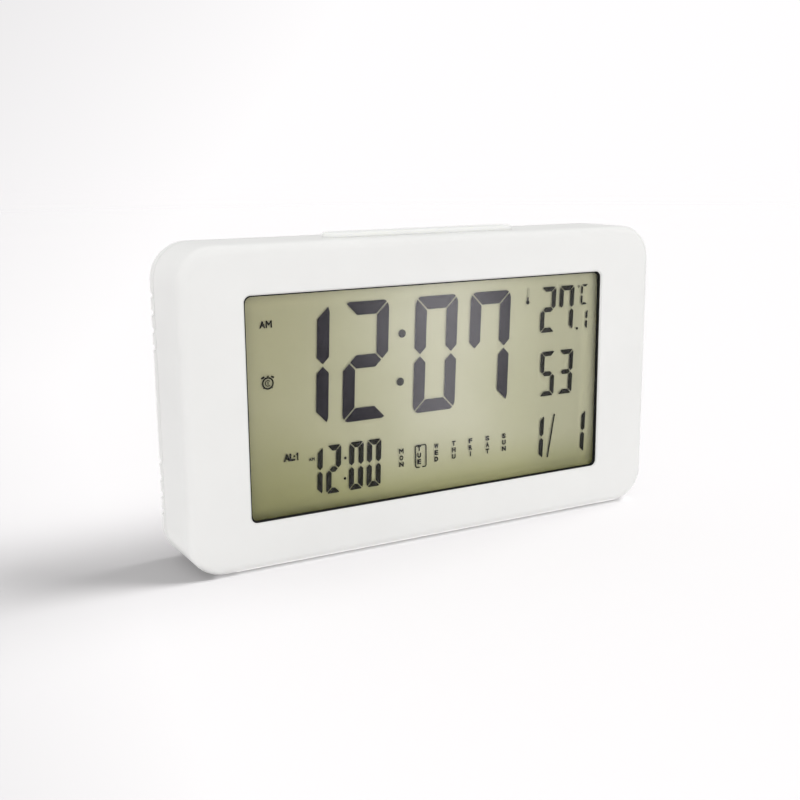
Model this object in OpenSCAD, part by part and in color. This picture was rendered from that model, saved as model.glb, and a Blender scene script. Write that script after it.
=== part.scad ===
// Large-display digital alarm clock: moulded case, display stack, board, snooze bar, keys and battery bay.
// Drawn in millimetres. X is the width, Y runs from the front to the back, Z is up from the table.

/* [Case] */
// Width of the case
body_w = 150; // [124:1:190]
// Height of the case
body_h = 86; // [72:1:110]
// Depth of the case from its front face to its back face
body_d = 24; // [23:0.5:32]
// Corner radius of the outline seen from the front
corner_r = 10; // [7:0.5:14]
// Round along the front edge and the back edge
edge_round = 2.5; // [1.5:0.1:3]
// Wall of the case sides and of the front
wall = 2; // [1.8:0.1:2.4]
// Depth of the back cover's sides
cover_depth = 5; // [4.4:0.1:5.4]

/* [Display] */
// Width of the face on each side of the window
side_margin = 18; // [17.5:0.5:24]
// Height of the face above and below the window
top_margin = 13; // [13:0.5:18]
// Corner radius of the window
window_r = 1.8; // [1:0.1:4]
// How far the window sits from the middle, towards the right when positive
window_shift = -0.7; // [-1:0.1:1]
// Thickness of the thin lip round the window
lip_t = 0.6; // [0.5:0.1:0.9]
// Thickness of the black foam gasket behind the lip
gasket_t = 0.8; // [0.5:0.1:1]
// Width of the foam gasket beyond the window
gasket_w = 3; // [2:0.1:3.5]
// Thickness of each of the two glass sheets
glass_t = 1.1; // [0.7:0.1:1.3]
// Thickness of the light guide plate
guide_t = 2.4; // [1.5:0.1:2.8]

/* [Snooze bar] */
// Length of the bar
bar_w = 60; // [30:1:80]
// Depth of the bar from its front to its back
bar_d = 8; // [7:0.5:10]
// How far behind the front face the bar begins
bar_setback = 7; // [6.5:0.1:7]
// How far the bar stands above the case
bar_rise = 1.3; // [1:0.1:3]
// Travel of the bar when it is pressed
bar_travel = 0.8; // [0.4:0.1:1]

/* [Keys] */
// Diameter of a key cap on the back
key_d = 8; // [6:0.5:9]
// Distance from one key to the next
key_pitch = 15; // [14.6:0.1:16]
// How far the caps stand out of the back
key_rise = 0.8; // [0.5:0.1:1.5]
// Travel of a key when it is pressed
key_travel = 0.5; // [0.3:0.05:0.6]

/* [Batteries] */
// Diameter of a battery cell
cell_d = 10.5; // [10.3:0.1:10.6]
// Length of a battery cell with its contact
cell_l = 44.5; // [44:0.1:45]
// Thickness of the battery door
door_t = 1.6; // [1.4:0.1:1.7]

/* [Board] */
// Thickness of the circuit board
board_t = 1.6; // [1:0.1:1.6]

/* [Vents] */
// Slots in each group beside the case sides
vent_count = 4; // [2:1:5]
// Distance from one slot to the next
vent_pitch = 4.6; // [3.5:0.1:5]
// Width of a slot
vent_w = 1.5; // [1:0.1:2]

/* [Feet] */
// How far the rubber feet stand below the case
foot_rise = 0.4; // [0.2:0.1:1]

/* [Hidden] */
$fn = 48;

// Overrun of every cut
over = 0.5;
// Gap of a piece that drops into its seat
fit = 0.15;
// Gap of a shaft in its hole
run = 0.05;

// Case
inner_r = corner_r - wall;
front_depth = body_d - cover_depth;
front_y = -(body_d + key_rise) / 2;
half_w = body_w / 2;
half_h = body_h / 2;
rear_wall = wall;
plate_in = body_d - rear_wall;
inner_round = 0.5;
inner_w = body_w - 2 * wall;
inner_h = body_h - 2 * wall;

// Lip that locates the back cover inside the housing
locating_l = 3;
locating_t = 1.2;
lip_w = inner_w - 2 * fit;
lip_h = inner_h - 2 * fit;
lip_r = inner_r - fit;
cover_in_w = lip_w - 2 * locating_t;
cover_in_h = lip_h - 2 * locating_t;
cover_in_r = lip_r - locating_t;
reveal_depth = 0.2;
reveal_w = 0.3;

// Window
window_w = body_w - 2 * side_margin;
window_h = body_h - 2 * top_margin;

// Display stack, as depths behind the front face
lip_chamfer = 0.4;
gasket_overhang = 0.35;
polariser_t = 0.2;
reflector_t = 0.3;
contact_ledge = 2.2;
frame_wall = 1.2;
gasket_back = lip_t + gasket_t;
polariser_back = gasket_back + polariser_t;
front_glass_back = polariser_back + glass_t;
rear_glass_back = front_glass_back + glass_t;
reflector_back = rear_glass_back + reflector_t;
guide_back = reflector_back + guide_t;
frame_back = guide_back + frame_wall;
board_back = frame_back + board_t;

// Display stack, as widths and heights
glass_w = window_w + 2 * gasket_w;
glass_h = window_h + 2 * gasket_w;
glass_r = 0.5;
pocket_w = glass_w + 2 * fit;
pocket_h = glass_h + 2 * fit;
frame_w = pocket_w + 2 * frame_wall;
frame_h = pocket_h + 2 * frame_wall;
rear_glass_h = glass_h - 2 * contact_ledge;
zebra_t = 1.6;
zebra_inset = 0.2;
zebra_share = 0.8;
zebra_w = glass_w * zebra_share;
zebra_y = glass_h / 2 - zebra_inset - zebra_t / 2;
led_w = 1.6;
led_h = 3;
led_gap = 0.2;
led_count = 2;
led_x = glass_w / 2 - led_gap - led_w / 2;
guide_w = glass_w - 2 * (led_w + 2 * led_gap);
guide_h = rear_glass_h - 2 * fit;

// Posts of the front housing
post_r = 3.5;
post_gap = 0.8;
pilot_spare = 0.5;
rib_t = 1.2;
rib_depth_share = 0.5;
cover_post_x = half_w - wall - post_r - 2 * post_gap;
cover_post_y = half_h - wall - post_r - 2 * post_gap;
cover_post_top = front_depth - locating_l - post_gap;
board_post_r = 2.5;
board_post_gap = 0.5;
board_post_x = frame_w / 2 + board_post_gap + board_post_r;
board_post_y_share = 0.25;
board_post_y = window_h * board_post_y_share;

// Screws
cover_screw_r = 1.25;
cover_head_r = 2.2;
cover_head_t = 1.6;
cover_screw_l = 10;
cover_seat_t = 2.5;
head_well_r = 2.8;
board_screw_r = 0.95;
board_head_r = 1.9;
board_head_t = 1.3;
board_screw_l = 5;
drive_depth_share = 0.5;
drive_width_share = 0.3;
drive_length_share = 1.3;

// Circuit board
board_edge = 0.5;
board_w = 2 * (board_post_x + board_post_r + board_edge);
board_h = frame_h;
board_r = 1;
pin_r = 1;
pin_x_share = 0.42;
pin_x = window_w * pin_x_share;

// Parts on the board
chip_r = 7;
chip_h = 1.4;
chip_edge = 0.6;
chip_x_share = 0.3;
chip_gap = 1;
chip_x = -window_w * chip_x_share;
crystal_r = 1;
crystal_l = 6;
crystal_gap = 0.1;
sensor_w = 8;
sensor_h = 12;
sensor_t = 4.5;
sensor_wall = 0.8;
sensor_slots = 4;
sensor_slot_w = 1;
sensor_pitch = 2.4;
sensor_x = -(board_w / 2 - sensor_w / 2 - post_r);
sensor_y_share = 0.36;
sensor_y = frame_h * sensor_y_share;

// Switches
switch_w = 6;
switch_t = 3.5;
switch_cap_r = 1.7;
switch_cap_l = 0.7;
switch_cover_t = 0.3;
switch_rim = 0.4;
press_gap = 0.05;

// Keys
key_drop = 20;
key_y = half_h - key_drop;
chip_y = key_y - switch_w / 2 - chip_gap - chip_r;
key_r = key_d / 2;
key_flange = 1.5;
key_flange_r = key_r + key_flange;
key_flange_t = 1.2;
key_stem_r = 2;
key_edge = 0.5;
key_dish_r = 14;
key_dish_depth = 0.35;
collar_gap = 0.2;
collar_wall = 1;
collar_l = 6.5;
collar_back = plate_in - collar_l;
key_stem_end = board_back + switch_t + switch_cap_l + key_travel + press_gap;

// Snooze bar
bar_r_share = 0.45;
bar_r = bar_d * bar_r_share;
bar_edge = 1;
bar_flange = 1.1;
bar_flange_t = 1.3;
bar_mid = bar_setback + bar_d / 2;
bar_stem_r = 2.2;
bar_stem_l = 2;
snooze_cap_l = 1.2;
snooze_body_h = 3.6;
snooze_body_d = 6;
snooze_cap_d = board_back + snooze_body_d / 2;
snooze_top = half_h - wall - bar_flange_t - bar_stem_l - bar_travel - press_gap;

// Battery bay
cell_r = cell_d / 2;
cell_edge = 0.4;
cell_gap = 0.3;
cell_fit = 0.2;
nub_r = 1.9;
nub_l = 1.2;
bay_wall = 1.2;
cell_space = 0.8;
cell_pitch = cell_d + cell_space;
cell_depth = body_d - door_t - cell_gap - cell_r;
spring_room = 4.6;
contact_t = 0.3;
bay_l = cell_l + spring_room + 2 * contact_t + 2 * cell_fit;
bay_h = cell_pitch + cell_d + 2 * cell_fit;
bay_front = cell_depth - cell_r - cell_fit - bay_wall;
door_ledge = 1.5;
door_gap = 0.2;
door_w = bay_l + 2 * door_ledge;
door_h = bay_h + 2 * door_ledge;
door_r = 2;
bay_rise = 9;
bay_y = -half_h + bay_rise + door_h / 2;
door_lip_t = 1;
door_lip_l = 1.4;
latch_w = 12;
latch_l = 5;
latch_slit = 0.7;
grip_w = 0.7;
grip_depth = 0.5;
grip_pitch = 1.6;
grip_count = 3;
nail_r = 5;
nail_depth = 0.9;
door_rib_t = 1;
door_rib_l = 2.5;

// Contacts and springs
contact_w = 8;
contact_h = 8;
tab_w = 3;
tab_out = 1.2;
tab_inset = 1;
tab_start = cell_depth - contact_h / 2 + tab_inset;
spring_wire_r = 0.3;
spring_big_r = 3.4;
spring_small_r = 1.8;
spring_turns = 4;
spring_steps = 10;
spring_sides = 6;
spring_gap = 0.1;

// Buzzer
buzzer_r = 10;
buzzer_t = 0.3;
ceramic_r = 7;
ceramic_t = 0.25;
buzzer_x_share = 0.62;
buzzer_y_share = 0.35;
buzzer_x = half_w * buzzer_x_share;
buzzer_y = -half_h * buzzer_y_share;
buzzer_ring_t = 1;
buzzer_ring_l = 3.2;
buzzer_ledge = 1;
buzzer_ledge_l = 1.1;
sound_hole_r = 0.8;
sound_ring = 3;

// Leads from the contacts and from the buzzer to the board
lead_r = 0.6;
lead_bend = 2;
lead_run = 1;
lead_turn = board_back + 2 * lead_bend;

// Reset hole, vents and feet
reset_r = 0.8;
vent_mid_share = 0.52;
vent_mid = half_h * vent_mid_share;
vent_inset = 1;
vent_start = front_depth + vent_inset;
vent_groove = 0.4;
vent_margin = wall + fit + locating_t;
vent_l = 6;
foot_w = 16;
foot_d = 4;
foot_r = 1.5;
foot_sink = 0.6;
foot_x_share = 0.7;
foot_x = half_w * foot_x_share;
foot_front = 5;
foot_inset = 4;
foot_back = front_depth - foot_inset;

// Colours as the photograph shows them
shell_colour = [0.92, 0.92, 0.91];
key_colour = [0.86, 0.86, 0.85];

// Puts a piece that was drawn as width, height and depth behind the front face into the case's place
module upright() {
    translate([0, front_y, foot_rise + half_h]) mirror([0, 1, 0]) rotate([90, 0, 0]) children();
}

// One side of a slab cut across, from its middle out to reach, with rounds at its front and back edge
module edge_profile(reach, thick, front_r, rear_r) {
    translate([0, front_r]) square([reach, thick - front_r - rear_r]);
    square([reach - front_r, thick - rear_r]);
    translate([0, front_r]) square([reach - rear_r, thick - front_r]);
    if (front_r > 0) translate([reach - front_r, front_r]) circle(r = front_r);
    if (rear_r > 0) translate([reach - rear_r, thick - rear_r]) circle(r = rear_r);
}

module across(reach, thick, front_r, rear_r) {
    edge_profile(reach, thick, front_r, rear_r);
    mirror([1, 0]) edge_profile(reach, thick, front_r, rear_r);
}

// Slab with a round-cornered outline and rounded front and back edges
module slab(w, h, thick, r, front_r = 0, rear_r = 0) {
    rotate([90, 0, 90]) linear_extrude(w - 2 * r, center = true) across(h / 2, thick, front_r, rear_r);
    rotate([90, 0, 0]) linear_extrude(h - 2 * r, center = true) across(w / 2, thick, front_r, rear_r);
    for (sx = [-1, 1], sy = [-1, 1])
        translate([sx * (w / 2 - r), sy * (h / 2 - r), 0])
            rotate_extrude() edge_profile(r, thick, front_r, rear_r);
}

// The same slab between two depths
module slab_between(w, h, from, to, r) {
    translate([0, 0, from]) slab(w, h, to - from, r);
}

// Frame cut out of a slab
module ring_between(w, h, r, thick, from, to) {
    difference() {
        slab_between(w, h, from, to, r);
        slab_between(w - 2 * thick, h - 2 * thick, from - over, to + over, r - thick);
    }
}

// Chamfer round a round-cornered hole, wide at the front face
module flare(w, h, r, depth) {
    for (sx = [-1, 1], sy = [-1, 1])
        translate([sx * (w / 2 - r), sy * (h / 2 - r), 0]) cylinder(h = depth, r1 = r + depth, r2 = r);
    rotate([90, 0, 90]) linear_extrude(w - 2 * r, center = true)
        polygon([[-h / 2 - depth, 0], [h / 2 + depth, 0], [h / 2, depth], [-h / 2, depth]]);
    rotate([90, 0, 0]) linear_extrude(h - 2 * r, center = true)
        polygon([[-w / 2 - depth, 0], [w / 2 + depth, 0], [w / 2, depth], [-w / 2, depth]]);
}

module rod(x, y, from, to, r) {
    translate([x, y, from]) cylinder(h = to - from, r = r);
}

module block(x, y, from, w, h, l) {
    translate([x - w / 2, y - h / 2, from]) cube([w, h, l]);
}

module at_cover_posts() {
    for (sx = [-1, 1], sy = [-1, 1]) translate([sx * cover_post_x, sy * cover_post_y, 0]) children();
}

module at_board_posts() {
    for (sx = [-1, 1], sy = [-1, 1])
        translate([window_shift + sx * board_post_x, sy * board_post_y, 0]) children();
}

// Places of the vents at both sides, in an upper and a lower group, with the middle of the case towards -X
module at_vents() {
    for (turn = [0, 180], group = [-1, 1], i = [0:vent_count - 1])
        rotate(turn) translate([half_w, group * vent_mid + (i - (vent_count - 1) / 2) * vent_pitch, 0])
            children();
}

module foot_shape(grow, from, to) {
    for (sx = [-1, 1], depth = [foot_front, foot_back])
        translate([sx * foot_x, 0, depth]) rotate([-90, 0, 0])
            translate([0, 0, from]) slab(foot_w + 2 * grow, foot_d + 2 * grow, to - from, foot_r + grow);
}

// Screw that points to the front, with its head's underside at seat
module screw(seat, r, head_r, head_t, l) {
    rod(0, 0, seat - l, seat, r);
    difference() {
        rod(0, 0, seat, seat + head_t, head_r);
        for (turn = [0, 90]) rotate(turn)
            block(0, 0, seat + head_t * (1 - drive_depth_share), head_r * drive_length_share,
                head_r * drive_width_share, head_t);
    }
}

// Front housing: face with its window, side walls, posts and the slot of the snooze bar
module front_housing() color(shell_colour) upright() difference() {
    union() {
        difference() {
            slab(body_w, body_h, front_depth, corner_r, edge_round);
            translate([0, 0, wall])
                slab(inner_w, inner_h, front_depth - wall + over, inner_r, inner_round);
        }
        at_cover_posts() rod(0, 0, wall - inner_round, cover_post_top, post_r);
        for (sx = [-1, 1], sy = [-1, 1])
            block(sx * (cover_post_x + inner_w / 2) / 2, sy * cover_post_y, wall - inner_round,
                inner_w / 2 - cover_post_x + inner_round, rib_t, front_depth * rib_depth_share);
        at_board_posts() rod(0, 0, wall - inner_round, frame_back, board_post_r);
    }
    translate([window_shift, 0, 0]) {
        flare(window_w, window_h, window_r, lip_chamfer);
        slab_between(window_w + 2 * lip_chamfer, window_h + 2 * lip_chamfer, -over, 0,
            window_r + lip_chamfer);
        slab_between(window_w, window_h, -over, wall + over, window_r);
        slab_between(pocket_w, pocket_h, lip_t, wall + over, glass_r);
    }
    at_cover_posts() rod(0, 0, cover_post_top + cover_seat_t - cover_screw_l - pilot_spare,
        cover_post_top + over, cover_screw_r + run);
    at_board_posts() rod(0, 0, board_back - board_screw_l - pilot_spare, frame_back + over,
        board_screw_r + run);
    translate([0, inner_h / 2 - inner_round, bar_mid]) rotate([-90, 0, 0])
        slab(bar_w + 2 * fit, bar_d + 2 * fit, wall + inner_round + over, bar_r + fit);
    translate([0, -half_h, 0]) foot_shape(run, -over, foot_sink);
}

// Foam frame behind the window's lip
module lcd_gasket() color([0.09, 0.09, 0.08]) upright() translate([window_shift, 0, 0]) difference() {
    slab_between(glass_w, glass_h, lip_t, gasket_back, glass_r);
    slab_between(window_w - 2 * gasket_overhang, window_h - 2 * gasket_overhang, lip_t - over,
        gasket_back + over, window_r);
}

module front_polariser() color([0.62, 0.63, 0.5]) upright() translate([window_shift, 0, 0])
    slab_between(glass_w - gasket_w, glass_h - gasket_w, gasket_back, polariser_back, glass_r);

// Two sheets of glass, the back one shorter so that the contacts on the front one lie open
module lcd_cell() color([0.7, 0.75, 0.68]) upright() translate([window_shift, 0, 0]) {
    slab_between(glass_w, glass_h, polariser_back, front_glass_back, glass_r);
    slab_between(glass_w, rear_glass_h, front_glass_back, rear_glass_back, glass_r);
}

module lcd_reflector() color([0.75, 0.74, 0.6]) upright() translate([window_shift, 0, 0])
    slab_between(glass_w - gasket_w, rear_glass_h, rear_glass_back, reflector_back, glass_r);

module light_guide() color([0.93, 0.95, 0.93]) upright() translate([window_shift, 0, 0])
    slab_between(guide_w, guide_h, reflector_back, guide_back, glass_r);

// Side-firing lamps at both ends of the light guide
module light_leds() color([0.95, 0.9, 0.6]) upright() translate([window_shift, 0, 0])
    for (sx = [-1, 1], i = [0:led_count - 1])
        block(sx * led_x, (i - (led_count - 1) / 2) * window_h / led_count, reflector_back,
            led_w, led_h, frame_back - reflector_back);

// Tray that holds glass and light guide, with slots for the zebra strips and the lamps
module display_frame() color([0.95, 0.95, 0.93]) upright() translate([window_shift, 0, 0]) {
    difference() {
        slab_between(frame_w, frame_h, wall, frame_back, glass_r + frame_wall);
        slab_between(pocket_w, pocket_h, wall - over, guide_back, glass_r);
        for (sy = [-1, 1])
            block(0, sy * zebra_y, guide_back - over, zebra_w + 2 * fit, zebra_t + 2 * zebra_inset,
                frame_wall + 2 * over);
        for (sx = [-1, 1], i = [0:led_count - 1])
            block(sx * led_x, (i - (led_count - 1) / 2) * window_h / led_count, guide_back - over,
                led_w + 2 * fit, led_h + 2 * fit, frame_wall + 2 * over);
    }
    for (sx = [-1, 1]) rod(sx * pin_x, 0, guide_back, board_back, pin_r);
}

module zebra_strips() color([0.85, 0.5, 0.6]) upright() translate([window_shift, 0, 0])
    for (sy = [-1, 1])
        block(0, sy * zebra_y, front_glass_back, zebra_w, zebra_t, frame_back - front_glass_back);

// Circuit board with notches round the cover posts
module main_board() color([0.1, 0.42, 0.2]) upright() difference() {
    translate([window_shift, 0, 0]) slab_between(board_w, board_h, frame_back, board_back, board_r);
    at_cover_posts() rod(0, 0, frame_back - over, board_back + over, post_r + post_gap);
    at_board_posts() rod(0, 0, frame_back - over, board_back + over, board_screw_r + fit);
    translate([window_shift, 0, 0])
        for (sx = [-1, 1]) rod(sx * pin_x, 0, frame_back - over, board_back + over, pin_r + run);
}

// Drop of black resin over the clock chip
module clock_chip() color([0.07, 0.07, 0.07]) upright()
    translate([chip_x, chip_y, board_back]) rotate_extrude() edge_profile(chip_r, chip_h, 0, chip_edge);

module quartz_crystal() color([0.78, 0.78, 0.76]) upright()
    translate([chip_x + chip_r + 2 * crystal_r, chip_y - crystal_l / 2, board_back + crystal_r + crystal_gap])
        rotate([-90, 0, 0]) cylinder(h = crystal_l, r = crystal_r);

// Slotted box of the temperature and humidity sensor, beside the vents
module room_sensor() color([0.93, 0.94, 0.95]) upright()
    translate([sensor_x, sensor_y, board_back]) difference() {
    block(0, 0, 0, sensor_w, sensor_h, sensor_t);
    block(0, 0, sensor_wall, sensor_w - 2 * sensor_wall, sensor_h - 2 * sensor_wall,
        sensor_t - 2 * sensor_wall);
    for (i = [0:sensor_slots - 1])
        block(0, (i - (sensor_slots - 1) / 2) * sensor_pitch, sensor_t - sensor_wall - over,
            sensor_w - 3 * sensor_wall, sensor_slot_w, sensor_wall + 2 * over);
}

module buzzer_disc() color([0.8, 0.65, 0.3]) upright() {
    rod(buzzer_x, buzzer_y, plate_in - buzzer_ledge_l - buzzer_t, plate_in - buzzer_ledge_l, buzzer_r);
    rod(buzzer_x, buzzer_y, plate_in - buzzer_ledge_l - buzzer_t - ceramic_t,
        plate_in - buzzer_ledge_l - buzzer_t, ceramic_r);
}

// Translucent bar on the top, with a flange under the roof and a stem over its switch
module snooze_bar() color([0.96, 0.97, 0.94]) upright()
    translate([0, inner_h / 2, bar_mid]) rotate([-90, 0, 0]) {
    slab(bar_w, bar_d, wall + bar_rise, bar_r, 0, bar_edge);
    translate([0, 0, -bar_flange_t])
        slab(bar_w + 2 * bar_flange, bar_d + 2 * bar_flange, bar_flange_t, bar_r + bar_flange);
    translate([0, bar_mid - snooze_cap_d, 0])
        rod(0, 0, -bar_flange_t - bar_stem_l, -bar_flange_t, bar_stem_r);
}

// Push switch under the snooze bar, standing on the back of the board
module snooze_switch() color([0.16, 0.16, 0.17]) upright() {
    block(0, snooze_top - snooze_cap_l - snooze_body_h / 2, board_back, switch_w, snooze_body_h,
        snooze_body_d);
    translate([0, snooze_top - snooze_cap_l, snooze_cap_d]) rotate([-90, 0, 0])
        cylinder(h = snooze_cap_l, r = switch_cap_r);
}

module at_keys() {
    for (i = [-2:2]) translate([i * key_pitch, key_y, 0]) children();
}

// Push switches of the keys: housing, steel cover and plunger
module key_switches() color([0.2, 0.2, 0.21]) upright() at_keys() {
    block(0, 0, board_back, switch_w, switch_w, switch_t - switch_cover_t);
    block(0, 0, board_back + switch_t - switch_cover_t, switch_w - switch_rim, switch_w - switch_rim,
        switch_cover_t);
    rod(0, 0, board_back + switch_t, board_back + switch_t + switch_cap_l, switch_cap_r);
}

// Key cap with a rounded edge and a dished top, a flange inside the cover and a stem to its switch
module key(place) color(key_colour) upright() translate([place * key_pitch, key_y, 0]) difference() {
    top = body_d + key_rise;
    union() {
        rod(0, 0, key_stem_end, plate_in, key_stem_r);
        rod(0, 0, plate_in - key_flange_t, plate_in, key_flange_r);
        translate([0, 0, plate_in]) rotate_extrude() edge_profile(key_r, top - plate_in, 0, key_edge);
    }
    translate([0, 0, top + key_dish_r - key_dish_depth]) sphere(r = key_dish_r, $fn = 96);
}

module mode_key() key(2);

module set_key() key(1);

module up_key() key(0);

module down_key() key(-1);

module alarm_key() key(-2);

// Walls of the battery bay, from the board side to the back plate
module bay_box() {
    block(0, bay_y, bay_front, bay_l + 2 * bay_wall, bay_h + 2 * bay_wall, plate_in - bay_front);
}

// Space of the two cells: two round troughs that open to the back
module bay_pocket() {
    for (sy = [-1, 1])
        translate([-bay_l / 2, bay_y + sy * cell_pitch / 2, cell_depth]) rotate([0, 90, 0])
            cylinder(h = bay_l, r = cell_r + cell_fit);
    block(0, bay_y, cell_depth, bay_l, bay_h, body_d - cell_depth + over);
}

// Back cover: back plate, locating lip, vents, battery bay, screw wells, key collars and buzzer ring
module rear_cover() color(shell_colour) upright() difference() {
    union() {
        difference() {
            translate([0, 0, front_depth])
                slab(body_w, body_h, body_d - front_depth, corner_r, 0, edge_round);
            slab_between(cover_in_w, cover_in_h, front_depth - over, plate_in, cover_in_r);
        }
        ring_between(lip_w, lip_h, lip_r, locating_t, front_depth - locating_l, front_depth + over);
        bay_box();
        at_cover_posts() rod(0, 0, cover_post_top, plate_in + over, post_r);
        at_keys() rod(0, 0, collar_back, plate_in + over, key_flange_r + collar_gap + collar_wall);
        rod(buzzer_x, buzzer_y, plate_in - buzzer_ring_l, plate_in + over, buzzer_r + fit + buzzer_ring_t);
    }
    ring_between(body_w + 2 * over, body_h + 2 * over, corner_r + over, over + reveal_depth,
        front_depth - over, front_depth + reveal_w);
    bay_pocket();
    contact_plates(run);
    slab_around_door(door_gap, body_d - door_t);
    translate([0, bay_y + door_h / 2 + nail_r / 2, body_d + nail_r - nail_depth])
        sphere(r = nail_r, $fn = 64);
    at_keys() rod(0, 0, collar_back - over, body_d + over, key_r + fit);
    at_keys() rod(0, 0, collar_back - over, plate_in, key_flange_r + collar_gap);
    at_cover_posts() rod(0, 0, cover_post_top - over, body_d + over, cover_screw_r + fit);
    at_cover_posts() rod(0, 0, cover_post_top + cover_seat_t, body_d + over, head_well_r);
    rod(buzzer_x, buzzer_y, plate_in - buzzer_ring_l - over, plate_in - buzzer_ledge_l, buzzer_r + fit);
    rod(buzzer_x, buzzer_y, plate_in - buzzer_ring_l - over, plate_in, buzzer_r - buzzer_ledge);
    rod(buzzer_x, buzzer_y, plate_in - over, body_d + over, sound_hole_r);
    for (ring = [1, 2], i = [0:6 * ring - 1])
        rotate_about(buzzer_x, buzzer_y, i * 60 / ring)
            rod(buzzer_x + ring * sound_ring, buzzer_y, plate_in - over, body_d + over, sound_hole_r);
    rod(buzzer_x, key_y, plate_in - over, body_d + over, reset_r);
    at_vents() block(-vent_margin - vent_l / 2, 0, plate_in - over, vent_l, vent_w, rear_wall + 2 * over);
    vent_grooves();
    block(0, half_h - wall - locating_t, front_depth - locating_l - over, bar_w + 4 * bar_flange,
        2 * locating_t + 2 * fit, locating_l + over);
}

// Shallow grooves that run from the vents over the back edge to the sides
module vent_grooves() difference() {
    at_vents() block(0, 0, vent_start, 2 * vent_margin, vent_w, body_d - vent_start + over);
    translate([0, 0, vent_start - over])
        slab(body_w - 2 * vent_groove, body_h - 2 * vent_groove, body_d - vent_groove - vent_start + over,
            corner_r - vent_groove, 0, edge_round - vent_groove);
}

module rotate_about(x, y, angle) {
    translate([x, y, 0]) rotate(angle) translate([-x, -y, 0]) children();
}

module slab_around_door(grow, from) {
    translate([0, bay_y, 0])
        slab_between(door_w + 2 * grow, door_h + 2 * grow, from, body_d + over, door_r + grow);
}

// Battery door with its spring latch, grip grooves, lip and centre rib
module battery_door() color(shell_colour) upright() translate([0, bay_y, 0]) difference() {
    union() {
        slab_between(door_w, door_h, body_d - door_t, body_d, door_r);
        ring_between(bay_l - 2 * fit, bay_h - 2 * fit, door_lip_t + over, door_lip_t,
            body_d - door_t - door_lip_l, body_d - door_t);
        block(0, 0, body_d - door_t - door_rib_l, bay_l - 4 * door_lip_t, door_rib_t, door_rib_l);
    }
    for (sx = [-1, 1])
        block(sx * (latch_w + latch_slit) / 2, door_h / 2 - latch_l / 2, body_d - door_t - door_lip_l - over,
            latch_slit, latch_l + 2 * over, door_t + door_lip_l + 2 * over);
    for (i = [0:grip_count - 1])
        block(0, door_h / 2 - (i + 1) * grip_pitch, body_d - grip_depth, latch_w - 2 * latch_slit, grip_w,
            grip_depth + over);
}

// Battery cell along X: can, shoulder and contact nub
module cell(side) upright()
    translate([side * (contact_t + cell_fit + cell_l / 2 - bay_l / 2), bay_y - side * cell_pitch / 2,
        cell_depth])
        rotate([0, -90 * side, 0]) translate([0, 0, -cell_l / 2]) rotate_extrude() {
            square([cell_r - cell_edge, cell_l - nub_l]);
            translate([0, cell_edge]) square([cell_r, cell_l - nub_l - 2 * cell_edge]);
            for (z = [cell_edge, cell_l - nub_l - cell_edge])
                translate([cell_r - cell_edge, z]) circle(r = cell_edge);
            square([nub_r, cell_l]);
        }

module battery_upper() color([0.2, 0.35, 0.55]) cell(-1);

module battery_lower() color([0.2, 0.35, 0.55]) cell(1);

// Points of a ring across a helix whose radius shrinks along X
function helix_ring(share, r, l, side) = let (
    angle = 360 * spring_turns * share,
    turn_r = spring_big_r + (spring_small_r - spring_big_r) * share)
    [for (k = [0:spring_sides - 1]) let (a = 360 * k / spring_sides)
        [side * (r + (l - 2 * r) * share + r * sin(a)),
         (turn_r + r * cos(a)) * cos(angle), (turn_r + r * cos(a)) * sin(angle)]];

// Conical contact spring of a cell, from the contact plate to the cell's flat end
module cone_spring(side) {
    l = spring_room - 2 * spring_gap;
    rings = spring_turns * spring_steps;
    points = [for (i = [0:rings]) each helix_ring(i / rings, spring_wire_r, l, side)];
    n = spring_sides;
    walls = [for (i = [0:rings - 1], k = [0:n - 1]) each [
        [i * n + k, i * n + (k + 1) % n, (i + 1) * n + k],
        [i * n + (k + 1) % n, (i + 1) * n + (k + 1) % n, (i + 1) * n + k]]];
    caps = [for (k = [1:n - 2]) each [[0, k + 1, k], [rings * n, rings * n + k, rings * n + k + 1]]];
    faces = [for (f = concat(walls, caps)) side > 0 ? f : [f[0], f[2], f[1]]];
    polyhedron(points = points, faces = faces);
}

module battery_springs() color([0.8, 0.8, 0.8]) upright() for (side = [-1, 1])
    translate([-side * (contact_t + spring_gap - bay_l / 2), bay_y - side * cell_pitch / 2, cell_depth])
        cone_spring(-side);

// Contact plates at both ends of the bay: the left one joins both cells, the others have a tab for a lead
module contact_plates(grow) {
    for (side = [-1, 1]) {
        block((bay_l - contact_t) / 2, bay_y + side * cell_pitch / 2, cell_depth - contact_h / 2 - grow,
            contact_t, contact_w + 2 * grow, contact_h + 2 * grow);
        block((bay_l + bay_wall + tab_out) / 2, bay_y + side * cell_pitch / 2, tab_start - grow,
            bay_wall + tab_out, tab_w + 2 * grow, contact_t + 2 * grow);
    }
    block(-(bay_l - contact_t) / 2, bay_y, cell_depth - contact_h / 2 - grow,
        contact_t, cell_pitch + contact_w + 2 * grow, contact_h + 2 * grow);
}

module battery_contacts() color([0.85, 0.85, 0.82]) upright() contact_plates(0);

// Quarter bend of a lead in the plane of X and the depth, from the angle start on
module lead_bow(x, y, depth, start) {
    translate([x, y, depth]) rotate([90, 0, 0]) rotate(start)
        rotate_extrude(angle = 90) translate([lead_bend, 0]) circle(r = lead_r);
}

// Lead that stands on the board, bends over at the depth turn and ends after a straight run at x
module lead(x, y, turn) {
    rod(x + lead_run + lead_bend, y, board_back, turn - lead_bend, lead_r);
    lead_bow(x + lead_run, y, turn - lead_bend, 0);
    translate([x, y, turn]) rotate([0, 90, 0]) cylinder(h = lead_run, r = lead_r);
}

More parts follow.
